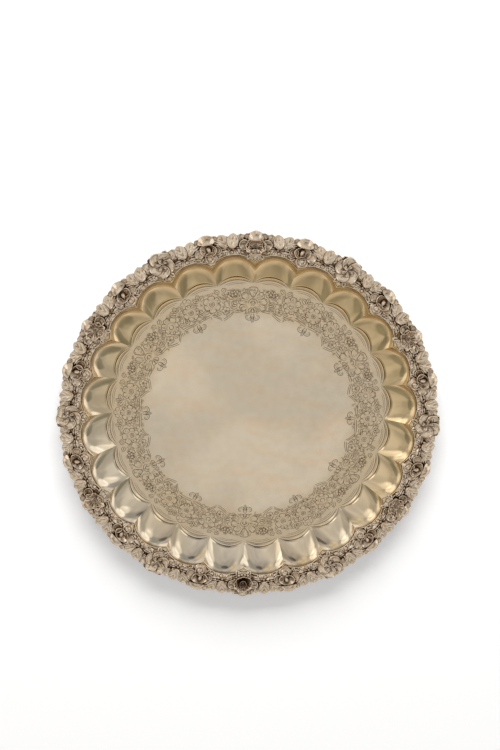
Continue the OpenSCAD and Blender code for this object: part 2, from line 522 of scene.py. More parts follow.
def setSurroundings():
    # a ramp of brightness by height with soft patches added, which the silver mirrors
    world = bpy.data.worlds.new("studio")
    bpy.context.scene.world = world
    world.use_nodes = True
    nodes = Nodes(world)
    place = nodes.make("ShaderNodeTexCoord").outputs["Generated"]
    ramp = nodes.make("ShaderNodeValToRGB")
    stops = ramp.color_ramp.elements
    while len(stops) < len(studio["sky"]):
        stops.new(0.5)
    for stop, (height, colour) in zip(stops, studio["sky"]):
        stop.position = height
        stop.color = (*colour, 1)
    nodes.tree.links.new(nodes.heightOf(place), ramp.inputs[0])
    sky = ramp.outputs[0]
    for direction, edge, full, colour in studio["patches"]:
        towards = nodes.along(place, tuple(Vector(direction).normalized()))
        extra = nodes.scaled(colour, nodes.remap(towards, edge, full))
        sky = nodes.make("ShaderNodeVectorMath", {0: sky, 1: extra}, operation="ADD").outputs[0]
    cloud = nodes.noise(place, studio["clouds"], 2)
    uneven = nodes.scaled(sky, nodes.remap(cloud, 0.36, 0.64, *studio["uneven"]))
    # the floor takes less of the surroundings than the silver mirrors, so its shadow is deeper
    rays = nodes.make("ShaderNodeLightPath")
    spill = nodes.remap(rays.outputs["Is Diffuse Ray"], 0, 1, 1, studio["spill"], "LINEAR")
    glow = nodes.make("ShaderNodeBackground", {"Color": uneven, "Strength": spill}).outputs[0]
    paper = nodes.make("ShaderNodeBackground", {"Color": (studio["paper"],) * 3}).outputs[0]
    seen = nodes.make("ShaderNodeMixShader", {0: rays.outputs["Is Camera Ray"], 1: glow, 2: paper})
    nodes.end("ShaderNodeOutputWorld", seen.outputs[0])


def setKey():
    # throws the soft shadow and isn't mirrored
    key = bpy.data.lights.new("key", "AREA")
    key.shape = "RECTANGLE"
    key.size, key.size_y = studio["keySize"]
    key.energy = studio["keyPower"]
    lamp = bpy.data.objects.new("key", key)
    lamp.visible_glossy = False
    bpy.context.scene.collection.objects.link(lamp)
    lamp.location = studio["keyPlace"]
    lamp.rotation_euler = (-Vector(studio["keyPlace"])).to_track_quat("-Z", "Y").to_euler()


bpy.context.scene.view_settings.view_transform = "Standard"
setCamera()
setFloor()
setSurroundings()
setKey()
print("camera, floor and light are set")

sheetSizes = {
    "Flutes": salver["flutes"],
    "Steps per flute": 16,
    "Well radius": salver["wellRadius"],
    "Ridge radius": salver["ridgeRadius"],
    "Well bulge": salver["wellBulge"],
    "Foot bulge": salver["footBulge"],
    "Flange bulge": salver["flangeBulge"],
    "Well gap": salver["wellGap"],
    "Sheet": salver["sheet"],
    "Rise": flangeTop - wellTop,
    "Step height": salver["stepHeight"],
    "Crease": 0.0006,             # depth of the groove along the flute's foot
    "Ridge softness": 0.0009,     # radians of rounding on each ridge
    "Lip width": 0.0012,
    "Lip height": 0.0005,
    "Flange radius": flangeRadius,
}


def scallop(f, t, ridge, bulge, shift=0.0):
    # distance from the middle to the scallops, t from the middle of a flute
    chord = ridge * sine(f["half"])
    sagitta = ridge + bulge - ridge * cosine(f["half"])
    arc = (chord * chord + sagitta * sagitta) / (sagitta * 2.0)
    at = ridge + bulge - arc
    arc = arc + shift
    across = at * sine(t)
    return at * cosine(t) + root(arc * arc - across * across)


# how the sheet's rows and columns are spread, and how its edges are joined
sheetMesh = {
    "nudge": 0.0001,     # keeps a column on a ridge from slipping to the flute before
    "crowd": 0.35,       # how much the columns crowd towards the ridges
    "footCrowd": 1.4,    # how much the rows of a flute crowd towards its foot
    "stepFade": 5.0,     # how soon the groove ends on the step and on the flute
    "fluteFade": 26.0,
    "stepTurn": 2.0,     # radians of the step's rounded top
    "weld": 0.000004,
    "sharp": 32,         # degrees
}


def sheetZone(tree, f, rows, underneath, place):
    # one band of the sheet: place(t, v) gives its radius and height
    crowd = sheetMesh["crowd"]
    mesh, u, v = strip(tree, f["Flutes"] * f["Steps per flute"] + 1.0, rows)
    step = u * f["Flutes"]
    index = (step + sheetMesh["nudge"]).math("FLOOR")
    w = (step - index) * 2.0 - 1.0
    t = f["half"] * (w * (1 + crowd) - w * w * w * crowd)
    angle = index * f["half"] * 2.0 + f["half"] + t
    if not underneath:
        angle = angle * -1.0
    soft = f["half"] - root((f["half"] - t.math("ABSOLUTE")) ** 2.0 + f["Ridge softness"] ** 2.0)
    r, z = place(soft, v)
    if underneath:
        z = z - f["Sheet"]
    return bend(tree, mesh, r, angle, z + f["Sheet"])


def flutedSheetTree():
    tree, f = startTree("flutedSheet", sheetSizes)
    f["half"] = (f["Flutes"] ** -1.0) * math.pi

    def stepTop(t):
        return f["Step height"] * cosine(t * (math.pi / 2) / f["half"])

    def crease(t, away):
        # deepest in the middle of a flute; away is 0 in the groove and 1 where it has nearly gone
        return f["Crease"] * cosine(t * (math.pi / 2) / f["half"]) * (away * away * -1.0).math("EXPONENT")

    def wellEdge(t):
        return scallop(f, t, f["Well radius"], f["Well bulge"], f["Well gap"] * -1.0)

    def foot(t):
        return scallop(f, t, f["Well radius"], f["Foot bulge"])

    def outerArc(t, shift=0.0):
        return scallop(f, t, f["Ridge radius"], f["Flange bulge"], shift)

    def stepZone(t, v):
        # a rounded crescent that turns down into a crease at the flute's foot
        turn = sheetMesh["stepTurn"]
        high = sine(v * turn) / math.sin(turn)
        return mix(wellEdge(t), foot(t), v), stepTop(t) * high - crease(t, (1.0 - v) * sheetMesh["stepFade"])

    def fluteZone(t, v):
        v = v ** sheetMesh["footCrowd"]
        slope, curve, end = salver["climb"]
        rise = f["Rise"] * (v * slope + v * v * curve + (v ** salver["climbEnd"]) * end)
        z = stepTop(t) * (1.0 - v) + rise - crease(t, v * sheetMesh["fluteFade"])
        return mix(foot(t), outerArc(t), v), z

    def lipZone(t, v):
        r = mix(outerArc(t), outerArc(t, f["Lip width"]), v)
        return r, f["Rise"] + f["Lip height"] * sine(v * math.pi)

    def flangeZone(t, v):
        return mix(outerArc(t, f["Lip width"]), f["Flange radius"], v), f["Rise"] + v * 0.0

    def edgeZone(t, v):
        return f["Flange radius"] + t * 0.0, f["Rise"] - f["Sheet"] * v

    join = tree.nodes.new("GeometryNodeJoinGeometry")
    # how many rows each zone has, first on the upper face and then underneath
    for rows, underneath, zone in (
        (9, False, stepZone), (26, False, fluteZone), (4, False, lipZone),
        (1, False, flangeZone), (1, False, edgeZone),
        (3, True, stepZone), (6, True, fluteZone), (1, True, lipZone), (1, True, flangeZone),
    ):
        tree.links.new(sheetZone(tree, f, rows, underneath, zone), join.inputs[0])
    finishTree(tree, join.outputs[0], silverSheet, sheetMesh["weld"])
    return tree


def arcOf(ridge, bulge):
    # radius of the arcs through the ridges, and how far their centres are from the middle
    chord = ridge * math.sin(pitch / 2)
    sagitta = ridge + bulge - ridge * math.cos(pitch / 2)
    arc = (chord ** 2 + sagitta ** 2) / (2 * sagitta)
    return arc, ridge + bulge - arc


paintedFootShade = {
    "dark": 0.95,
    "reach": 0.0004,
    "from": 0.0001,      # height above the well where it may begin
}


def footShade(point):
    # painted shade: how dark the groove along the foot of each flute is painted
    arc, at = arcOf(salver["wellRadius"], salver["footBulge"])
    r = math.hypot(point.x, point.y)
    t = math.atan2(point.y, point.x) % pitch - pitch / 2
    if point.z < wellTop + paintedFootShade["from"] or r < at:
        return 0.0
    away = math.hypot(r * math.cos(t) - at, r * math.sin(t)) - arc
    return paintedFootShade["dark"] * math.exp(-(away / paintedFootShade["reach"]) ** 2) * math.cos(math.pi * t / pitch)


def innerLoop(mesh, height):
    # the open edge of the sheet at this height, in order round the middle
    counts = {}
    for face in mesh.polygons:
        for key in face.edge_keys:
            counts[key] = counts.get(key, 0) + 1
    found = set()
    for (a, b), times in counts.items():
        if times == 1 and abs(mesh.vertices[a].co.z - height) < 0.0002:
            found.update((a, b))
    return sorted(found, key=lambda i: math.atan2(mesh.vertices[i].co.y, mesh.vertices[i].co.x))


def buildTray():
    mesh = runTree(flutedSheetTree(), "trayBody", sheetSizes)
    print("sheet:", len(mesh.polygons), "faces")
    top = innerLoop(mesh, wellTop)
    bottom = innerLoop(mesh, 0.0)
    verts = [v.co.copy() for v in mesh.vertices]
    faces = [tuple(p.vertices) for p in mesh.polygons]
    smooth = len(faces)

    # the well's floor is engraved, its underside is plain
    flat, cuts, triangles = engraveWell([verts[i] for i in top])
    base = len(verts) - len(top)
    for x, y, depth in flat[len(top):]:
        verts.append(Vector((x, y, wellTop - depth)))

    def index(i):
        return top[i] if i < len(top) else base + i

    faces += [tuple(index(i) for i in tri) for tri in triangles]
    middle = len(verts)
    verts.append(Vector((0, 0, 0)))
    faces += [(middle, bottom[i], bottom[i - 1]) for i in range(len(bottom))]

    made = bpy.data.meshes.new("trayBody")
    made.from_pydata(verts, [], faces)
    made.materials.append(silverSheet)
    made.update()
    # the sharp edges come first, because finding them makes every face smooth
    made.set_sharp_from_angle(angle=math.radians(sheetMesh["sharp"]))
    made.polygons.foreach_set("use_smooth", [True] * smooth + [False] * (len(faces) - smooth))
    # the cut attribute holds the painted shade along the flutes' feet and the engraving's tarnish and
    # painted shade
    layer = made.attributes.new("cut", "FLOAT", "POINT")
    values = [footShade(p) for p in verts]
    for i, cut in enumerate(cuts):
        values[index(i)] = cut
    layer.data.foreach_set("value", values)
    print("tray:", len(made.vertices), "points,", len(made.polygons), "faces")
    addPiece("trayBody", made, "tray_body")


# the engraving on the well is worked in millimetres and cut as real V grooves

engraver = {
    "sectors": 6,
    "bold": 0.78,        # width of an outline
    "plain": 0.64,
    "fine": 0.46,        # width of a shading line
    "depth": 0.2,        # of a groove as wide as an outline
    "dark": 2.2,         # how soon a groove's tarnish and painted shade get as dark as they can
    "stipple": 4200,     # dots tried on the ground between the flowers
    "clear": 0.62,       # how far a dot stays from every line
    "dot": 0.55,         # half the length of a dot
    "mesh": 2.0,         # spacing of the flat points
    "firstRow": 84.0,
    "rows": 23,
}


class Burin:
    # keeps every stroke as its points and its width, drawn in a frame that can be moved about the well
    def __init__(self):
        self.strokes = []
        self.stand(0, 0)

    def stand(self, radius, degrees, turn=0, flip=1, sector=0):
        # the frame's X points out from the middle, or turn degrees away from that
        self.home = (radius, math.radians(degrees), math.radians(turn), flip, sector * math.pi / 3)

    def cut(self, points, width):
        radius, angle, turn, flip, around = self.home
        placed = []
        for x, y in points:
            px = radius + x * math.cos(turn) - y * math.sin(turn)
            py = x * math.sin(turn) + y * math.cos(turn)
            qx = px * math.cos(angle) - py * math.sin(angle)
            qy = (px * math.sin(angle) + py * math.cos(angle)) * flip
            placed.append((qx * math.cos(around) - qy * math.sin(around),
                           qx * math.sin(around) + qy * math.cos(around)))
        self.strokes.append((placed, engraver[width]))

    def bow(self, x1, y1, x2, y2, bulge, width, steps=7):
        # a curved line between two points that leaves the straight by bulge
        nx, ny = y1 - y2, x2 - x1
        long = math.hypot(nx, ny)
        points = []
        for i in range(steps + 1):
            t = i / steps
            out = 4 * bulge * t * (1 - t) / long
            points.append((x1 + (x2 - x1) * t + nx * out, y1 + (y2 - y1) * t + ny * out))
        self.cut(points, width)

    def ring(self, x, y, a, b, lean=0, start=0, sweep=360, width="plain", steps=14):
        points = []
        for i in range(steps + 1):
            t = math.radians(start + sweep * i / steps)
            u, v = a * math.cos(t), b * math.sin(t)
            c, s = math.cos(math.radians(lean)), math.sin(math.radians(lean))
            points.append((x + u * c - v * s, y + u * s + v * c))
        self.cut(points, width)

    def petal(self, x, y, lean, near, far, wide, notch=0.0, shade=5, width="bold"):
        # a rounded petal from near to far along lean, with shading that spreads from its root
        c, s = math.cos(math.radians(lean)), math.sin(math.radians(lean))
        long = far - near
        points = []
        steps = 16
        for i in range(steps + 1):
            t = math.pi * (2 * i / steps - 1)
            along = near + long * (0.5 + 0.5 * math.cos(t)) ** 0.62
            along -= notch * math.exp(-(t / 0.35) ** 2)
            across = wide / 2 * math.sin(t) * (0.72 + 0.28 * math.cos(t))
            points.append((x + along * c - across * s, y + along * s + across * c))
        self.cut(points, width)
        for i in range(shade):
            side = (i + 0.5) / shade * 2 - 1
            root = near + long * 0.06
            end = near + long * (0.62 - 0.26 * (i % 2))
            spread = wide * 0.36 * side
            self.cut([(x + root * c - spread * 0.2 * s, y + root * s + spread * 0.2 * c),
                      (x + (root + end) / 2 * c - spread * 0.7 * s,
                       y + (root + end) / 2 * s + spread * 0.7 * c),
                      (x + end * c - spread * s, y + end * s + spread * c)], "fine")

    def leaf(self, x, y, lean, long, wide, teeth=4, bend=0.6):
        # a toothed leaf with a bent midrib and slanting veins
        c, s = math.cos(math.radians(lean)), math.sin(math.radians(lean))

        def spot(u, v):
            v += bend * 4 * u * (1 - u)
            return x + u * long * c - v * s, y + u * long * s + v * c

        for side in (1, -1):
            edge = []
            steps = teeth * 2
            for i in range(steps + 1):
                u = i / steps
                half = wide / 2 * math.sin(math.pi * u ** 0.8) * (1.18 if i % 2 else 0.86)
                edge.append(spot(u, side * half))
            self.cut(edge, "plain")
            # only the larger leaves have side veins
            for i in range(1, teeth if teeth > 3 else 1):
                u = i / teeth
                half = wide / 2 * math.sin(math.pi * u ** 0.8) * 0.8
                self.cut([spot(u * 0.86, 0), spot(u + 0.08, side * half)], "fine")
        self.cut([spot(i / 6, 0) for i in range(7)], "plain")

    def fan(self, x, y, lean, near, far, petals, sweep, shade=3, width="bold", notch=0.05):
        # petals side by side round a centre, each with a shallow notch and lines that spread from its root
        half = math.radians(sweep / petals / 2)
        # distance and angle along one petal's outline, from its root to the notch in its tip
        side = ((near, 1.0), (far * 0.62, 0.99), (far * 0.84, 0.9), (far * 0.96, 0.6), (far, 0.3),
                (far * (1 - notch), 0.0))
        for i in range(petals):
            middle = math.radians(lean + sweep * ((i + 0.5) / petals - 0.5))

            def spot(r, part):
                return x + r * math.cos(middle + half * part), y + r * math.sin(middle + half * part)

            outline = [spot(r, part) for r, part in side]
            outline += [spot(r, -part) for r, part in side[-2::-1]]
            self.cut(outline, width)
            for j in range(shade):
                part = (j + 0.5) / shade * 2 - 1
                end = far * (0.8 - 0.2 * (j % 2))
                self.cut([spot(near * 1.15, part * 0.8), spot((near + end) / 2, part * 0.75),
                          spot(end, part * 0.7)], "fine")

    def daisy(self, x, y, size, petals, turn=0, near=0.36, shade=3, width="bold"):
        self.fan(x, y, turn, size * near, size, petals, 360, shade, width)
        self.ring(x, y, size * near * 0.8, size * near * 0.8)
        for i in range(petals):
            t = 2 * math.pi * i / petals
            reach = size * near * 0.45
            self.cut([(x, y), (x + reach * math.cos(t), y + reach * math.sin(t))], "plain")


def engravePoppy(burin):
    # the large flower on each sector's middle line
    burin.petal(0, 0, 0, 4.2, 15.2, 11.0, 0.3, 5)
    for side in (1, -1):
        burin.fan(0, 0, 82 * side, 4.4, 13.2, 3, 104, 4)
        burin.petal(-2.6, 0, 150 * side, 1.0, 6.4, 4.6, 0.0, 2, "plain")
    burin.petal(-3.0, 0, 180, 0.8, 6.0, 4.8, 0.0, 3, "plain")
    burin.ring(0, 0, 4.1, 4.1, start=-110, sweep=220, width="bold")
    burin.ring(-0.6, 0, 2.5, 2.5, start=-100, sweep=200, width="bold")
    for i in range(9):
        t = math.radians(-80 + 20 * i)
        burin.cut([(4.6 * math.cos(t), 4.6 * math.sin(t)), (7.6 * math.cos(t), 7.6 * math.sin(t))], "plain")
    for y in (-1.6, 0, 1.6):
        burin.cut([(-2.4, y * 1.1), (1.0, y)], "plain")


# the line that closes the band towards the middle: radius, degrees and how far the next piece of it bows
bracket = ((101.6, 4.4, 0.0), (101.0, 9.8, 0.6), (95.4, 16.4, -0.8), (102.4, 21.4, -0.6), (100.6, 30.0, 0.0))


def engraveBracket(burin):
    for inset, width in ((0, "bold"), (1.7, "plain")):
        places = []
        for radius, degrees, _ in bracket:
            t = math.radians(degrees)
            places.append(((radius - inset) * math.cos(t), (radius - inset) * math.sin(t)))
        for (x1, y1), (x2, y2), (_, _, bulge) in zip(places, places[1:], bracket):
            burin.bow(x1, y1, x2, y2, bulge, width)


def engravePendant(burin):
    for side in (1, -1):
        burin.ring(0, 3.6 * side, 2.1, 2.9, lean=-25 * side, width="bold")
        burin.ring(0.2, 3.8 * side, 0.8, 1.4, lean=-25 * side, width="fine")
        burin.bow(4.2, 0.4 * side, -1.2, 1.1 * side, -0.8 * side, "bold")
    burin.leaf(2.2, 0, 180, 7.4, 2.8, 2, 0)


def engraveHalf(burin, stand, side):
    # one flank of a sector; the two flanks carry different flowers
    stand(113.2, 8.2)
    for lean in (-34, 6, 46):
        burin.leaf(-1.0, 0, lean, 10.4, 5.6)
    stand(105.8, 7.4)
    for lean in (52, 96):
        burin.leaf(0, 0, lean, 7.6, 4.4, 3)
    if side > 0:
        stand(111.4, 19.4)
        burin.daisy(0, 0, 8.2, 6, turn=20)
    else:
        stand(112.0, 18.4)
        burin.fan(-1.4, 0, 0, 2.4, 9.4, 3, 150, 4)
        burin.fan(-1.4, 0, 180, 2.4, 7.2, 4, 210, 3)
        burin.ring(-1.4, 0, 2.0, 2.0, width="bold")
    stand(102.6, 13.6)
    burin.daisy(0, 0, 3.8, 5, turn=8, shade=0, width="plain")
    burin.leaf(-0.6, 3.8, 96, 5.6, 3.4, 3)
    stand(120.6, 14.2)
    burin.leaf(-1.0, -1.0, -58, 6.0, 3.8, 3)
    burin.leaf(-1.0, 1.0, 48, 6.4, 3.8, 3)
    stand(118.6, 24.4)
    for lean in (-60, -6, 48):
        burin.leaf(-1.0, 0, lean, 7.4, 4.4, 3)
    stand(105.4, 24.6)
    for lean in (-84, 30, 88):
        burin.leaf(0, 0, lean, 6.2, 3.8, 3)


def engraveMiddle(burin, stand):
    # the smaller flower half way between two poppies
    stand(111.6, 30)
    burin.daisy(0, 0, 7.8, 7, turn=0)
    stand(119.8, 30)
    burin.fan(0, 0, 0, 1.2, 5.6, 3, 170, 2, "plain")


def wellScallop():
    # radius and centre of the arcs at the edge of the well, in millimetres
    arc, at = arcOf(salver["wellRadius"], salver["wellBulge"])
    return arc * 1000, at * 1000


def outsideWell(x, y):
    arc, at = wellScallop()
    t = math.atan2(y, x) % pitch - pitch / 2
    r = math.hypot(x, y)
    return r > at and math.hypot(r * math.cos(t) - at, r * math.sin(t)) > arc - salver["wellGap"] * 1000


def shadeScallops(burin):
    # the outline of every scallop at the edge of the well, and fine curved lines inside it
    arc, at = wellScallop()
    half = math.asin(salver["wellRadius"] * 1000 * math.sin(pitch / 2) / arc)
    burin.stand(0, 0)
    for k in range(salver["flutes"]):
        middle = (k + 0.5) * pitch
        for inset, reach, width in ((1.0, 0.98, "bold"), (3.0, 0.78, "fine"), (4.4, 0.6, "fine")):
            r = arc - inset
            points = []
            for i in range(13):
                t = half * reach * (i / 6 - 1)
                x, y = at + r * math.cos(t), r * math.sin(t)
                points.append((x * math.cos(middle) - y * math.sin(middle),
                               x * math.sin(middle) + y * math.cos(middle)))
            burin.cut(points, width)


def drawPattern():
    burin = Burin()
    for sector in range(engraver["sectors"]):
        burin.stand(107.6, 0, sector=sector + 1.5)
        engravePoppy(burin)
        for side in (1, -1):
            def stand(radius, degrees, turn=0):
                burin.stand(radius, degrees, turn, side, sector + 1.5)
            engraveHalf(burin, stand, side)
            stand(0, 0)
            engraveBracket(burin)

        def stand(radius, degrees, turn=0):
            burin.stand(radius, degrees, turn, 1, sector + 1.5)
        engraveMiddle(burin, stand)
        for middle in (0, 30):
            burin.stand(93.8 if middle == 0 else 94.6, middle, 0, 1, sector + 1.5)
            engravePendant(burin)
    shadeScallops(burin)
    return burin.strokes


def samplesOf(strokes, spacing=0.15):
    # close points along every centre line, each with its stroke's width there
    spots, widths = [], []
    for points, width in strokes:
        last = len(points) - 1
        for i, ((x1, y1), (x2, y2)) in enumerate(zip(points, points[1:])):
            count = max(1, round(math.hypot(x2 - x1, y2 - y1) / spacing))
            for j in range(count + (i == last - 1)):
                t = j / count
                spots.append((x1 + (x2 - x1) * t, y1 + (y2 - y1) * t))
                widths.append(width * taper((i + t) / last))
    return spots, widths


def taper(t):
    # strokes run out to nothing at both ends
    return max(0.04, min(1.0, 7 * t, 7 * (1 - t)))


def treeOf(spots):
    tree = KDTree(len(spots))
    for i, (x, y) in enumerate(spots):
        tree.insert((x, y, 0), i)
    tree.balance()
    return tree


def stippleGround(strokes, chance):
    # short dots wherever the band is still bare
    spots, widths = samplesOf(strokes, 0.3)
    tree = treeOf(spots)
    dots = []
    for i in range(engraver["stipple"]):
        r = chance.uniform(98.5, 121.0)
        a = chance.uniform(0, 2 * math.pi)
        lean = chance.uniform(0, math.pi)
        x, y = r * math.cos(a), r * math.sin(a)
        if tree.find((x, y, 0))[2] > engraver["clear"]:
            u, v = engraver["dot"] * math.cos(lean), engraver["dot"] * math.sin(lean)
            dots.append(([(x - u, y - v), (x, y), (x + u, y + v)], engraver["plain"]))
    return dots


def engraveWell(rim):
    strokes = drawPattern()
    strokes += stippleGround(strokes, random.Random(7))
    print("engraving:", len(strokes), "strokes")
    points = [Vector((p.x * 1000, p.y * 1000)) for p in rim]
    count = len(points)
    edges = [(i, (i + 1) % count) for i in range(count)]
    for line, width in strokes:
        last = len(line) - 1
        rails = [[], [], []]
        for i, (x, y) in enumerate(line):
            before, after = line[max(0, i - 1)], line[min(last, i + 1)]
            dx, dy = after[0] - before[0], after[1] - before[1]
            long = math.hypot(dx, dy) or 1
            half = width / 2 * taper(i / last)
            for rail, side in zip(rails, (-half, 0, half)):
                rail.append(len(points))
                points.append(Vector((x - dy / long * side, y + dx / long * side)))
        for rail in rails:
            edges += zip(rail, rail[1:])
    spots, widths = samplesOf(strokes)
    tree = treeOf(spots)
    # flat points between the strokes keep every groove's shade to itself
    for row in range(engraver["rows"]):
        r = engraver["firstRow"] + row * engraver["mesh"]
        around = round(2 * math.pi * r / engraver["mesh"])
        for i in range(around):
            a = 2 * math.pi * (i + 0.5 * (row % 2)) / around
            spot = Vector((r * math.cos(a), r * math.sin(a)))
            if tree.find((spot.x, spot.y, 0))[2] > engraver["bold"] / 2 + 0.1:
                points.append(spot)
    found, _, triangles, origins, _, _ = delaunay_2d_cdt(points, edges, [], 0, 0.0005)

    # each point lies as deep as the nearest groove makes it there
    order = [-1] * len(found)
    for i, sources in enumerate(origins):
        rimSources = [j for j in sources if j < count]
        if rimSources:
            order[i] = rimSources[0]
    total = count
    for i in range(len(order)):
        if order[i] < 0:
            order[i] = total
            total += 1
    flat = [None] * total
    cuts = [0.0] * total
    slope = engraver["depth"] / (engraver["bold"] / 2)
    for i, p in enumerate(found):
        depth = 0.0
        if order[i] >= count:
            for _, j, distance in tree.find_range((p.x, p.y, 0), engraver["bold"] / 2):
                depth = max(depth, (widths[j] / 2 - distance - 0.03) * slope)
        flat[order[i]] = (p.x / 1000, p.y / 1000, depth / 1000)
        # the groove's tarnish and painted shade deepen with its depth
        cuts[order[i]] = min(1.0, depth / engraver["depth"] * engraver["dark"])
    kept = []
    for a, b, c in triangles:
        x = (found[a].x + found[b].x + found[c].x) / 3
        y = (found[a].y + found[b].y + found[c].y) / 3
        if not outsideWell(x, y):
            kept.append((order[a], order[b], order[c]))
    return flat, cuts, kept


buildTray()

wireSizes = {
    "Flutes": salver["flutes"],
    "Steps per flute": 20,
    "Ridge radius": salver["ridgeRadius"],
    "Flange bulge": salver["flangeBulge"],
    "Gap": 0.0011,
    "Width": 0.0013,
    "Height": 0.00085,
    "Bottom": flangeTop - 0.0001,
}


wireMesh = {
    "round": 12,         # steps round its section
    "sharp": 50,
}


def filletWireTree():
    tree, f = startTree("filletWire", wireSizes)
    f["half"] = (f["Flutes"] ** -1.0) * math.pi
    mesh, u, v = strip(tree, f["Flutes"] * f["Steps per flute"] + 1.0, wireMesh["round"])
    step = u * f["Flutes"]
    around = v * (2 * math.pi)
    index = (step + sheetMesh["nudge"]).math("FLOOR")
    t = f["half"] * ((step - index) * 2.0 - 1.0)
    angle = index * f["half"] * 2.0 + f["half"] + t
    middle = f["Gap"] + f["Width"] * 0.5
    r = scallop(f, t, f["Ridge radius"], f["Flange bulge"], middle) + cosine(around) * f["Width"] * 0.5
    z = (sine(around) * f["Height"]).math("MAXIMUM", 0.0) + f["Bottom"]
    finishTree(tree, bend(tree, mesh, r, angle, z), silverWire, sheetMesh["weld"])
    return tree


def outwards(mesh):
    # turns every face of a closed mesh to the outside
    shape = bmesh.new()
    shape.from_mesh(mesh)
    bmesh.ops.recalc_face_normals(shape, faces=shape.faces)
    shape.to_mesh(mesh)
    shape.free()


def buildWire():
    mesh = runTree(filletWireTree(), "filletWire", wireSizes)
    outwards(mesh)
    mesh.polygons.foreach_set("use_smooth", [True] * len(mesh.polygons))
    mesh.set_sharp_from_angle(angle=math.radians(wireMesh["sharp"]))
    addPiece("filletWire", mesh, "fillet_wire")
    print("wire:", len(mesh.polygons), "faces")


buildWire()

# the castings are closed petals, leaves and cups, worked in millimetres
# X points out from the middle of the tray and Z up from the flange

plainPetal = {
    "length": 10, "width": 9,
    "base": 1.5,         # height of the edge above the back
    "dome": 0, "belly": 2.2,
    "cup": 0,            # how far the edge stands above the middle
    "bead": 0, "beadAt": 0.86, "beadWidth": 0.1,
    "roll": 0.5,         # drop of the rounded edge
    "point": 0, "heel": 0,       # sharpness of the tip and of the stalk end
    "ruffle": 0, "crinkle": 0, "lobes": 8,
    "rib": 0, "ribs": 9, "root": 1.15,       # ribs fan out from the stalk end, or from the middle at 0
    "vein": 0, "veins": 3,       # grooves that slant from the middle to both sides
    "open": 1,           # below 1 the stalk end is cut short and arches up like the mouth of a hood
    "arc": 0, "arcs": 3,         # grooves along the edge
    "swirl": 0, "turns": 2.2,
    "keel": 0,           # a groove along the middle
    "rings": 8, "spokes": 32,
    "shell": 0,          # thickness of a petal that stands free, 0 for one cast solid
}


def petal(**sizes):
    look = dict(plainPetal, **sizes)
    a = look["length"] / 2
    b = look["width"] / 2

    def place(r, angle):
        c = math.cos(angle)
        s = math.sin(angle)
        sharp = look["point"] * (1 + c) / 2 + look["heel"] * (1 - c) / 2
        narrow = abs(s) ** sharp if sharp and s else 1.0
        edge = r * (1 + look["ruffle"] * math.cos(look["lobes"] * angle) * r * r)
        x = a * edge * c * (look["open"] if c < 0 else 1)
        y = b * edge * s * narrow
        fan = math.atan2(y, x + a * look["root"])
        swell = r if look["open"] == 1 else math.hypot((x / a + look["open"]) / (1 + look["open"]), y / b)
        z = look["base"] + look["dome"] * (1 - min(1, swell) ** look["belly"]) + look["cup"] * r * r
        z += look["crinkle"] * math.cos(look["lobes"] * angle + 0.6) * r ** 4
        z += look["bead"] * math.exp(-((r - look["beadAt"]) / look["beadWidth"]) ** 2)
        z += look["rib"] * math.cos(look["ribs"] * fan) * min(1, 1.6 * r) * min(1, 4 * (1 - r) + 0.35)
        z += look["vein"] * math.cos(look["veins"] * math.pi * (abs(y) / b - 0.8 * x / a)) * (1 - r ** 4)
        z += look["arc"] * math.cos(2 * math.pi * look["arcs"] * r) * r
        z += look["swirl"] * math.cos(2 * math.pi * look["turns"] * r - angle) * min(1, 3 * r)
        z -= look["keel"] * math.exp(-(6 * y / look["width"]) ** 2 * 4) * (1 - r ** 3)
        z -= look["roll"] * max(0.0, (r - 0.9) / 0.1) ** 2
        return x, y, z

    rings = look["rings"]
    spokes = look["spokes"]
    points = [place(0, 0)]
    for i in range(1, rings + 1):
        r = math.sin(math.pi / 2 * i / rings)
        points += [place(r, 2 * math.pi * j / spokes) for j in range(spokes)]
    top = len(points)
    faces = [(0, 1 + j, 1 + (j + 1) % spokes) for j in range(spokes)]

    def band(first, second, up=True):
        for j in range(spokes):
            k = (j + 1) % spokes
            loop = (first + j, second + j, second + k, first + k)
            faces.append(loop if up else loop[::-1])

    for i in range(rings - 1):
        band(1 + i * spokes, 1 + (i + 1) * spokes)
    rim = 1 + (rings - 1) * spokes
    if look["shell"]:
        # a second skin below, a few rings coarser
        under = [place(0.98, 2 * math.pi * j / spokes) for j in range(spokes)]
        inner = [place(0.55, 2 * math.pi * j / spokes) for j in range(spokes)]
        drop = look["shell"]
        points += [(x, y, z - drop * 0.5) for x, y, z in under]
        points += [(x, y, z - drop) for x, y, z in inner]
        x, y, z = place(0, 0)
        points.append((x, y, z - drop))
        band(rim, top)
        band(top, top + spokes)
        last = len(points) - 1
        faces += [(top + spokes + (j + 1) % spokes, top + spokes + j, last) for j in range(spokes)]
        foot = np.zeros(len(points), bool)
    else:
        points += [(x, y, 0) for x, y, z in points[rim:rim + spokes]]
        points.append((0, 0, 0))
        band(rim, top)
        last = len(points) - 1
        faces += [(top + (j + 1) % spokes, top + j, last) for j in range(spokes)]
        foot = np.arange(len(points)) >= top
    return {"points": np.array(points, float), "faces": faces, "foot": foot}


whorlSizes = {
    "Count": 5,
    "Radius": 5.0,
    "Radius step": 0.0,
    "Sweep": 2 * math.pi,        # the angle that the whole ring takes up
    "Turn": 0.0,
    "Tilt": 0.0,                 # tips up
    "Twist": 0.0,                # one side over the next
    "Rise": 0.0,
    "Rise step": 0.0,
    "Size": 1.0,
    "Size step": 0.0,
    "Jitter": 0.04,
    "Seed": 1,
}


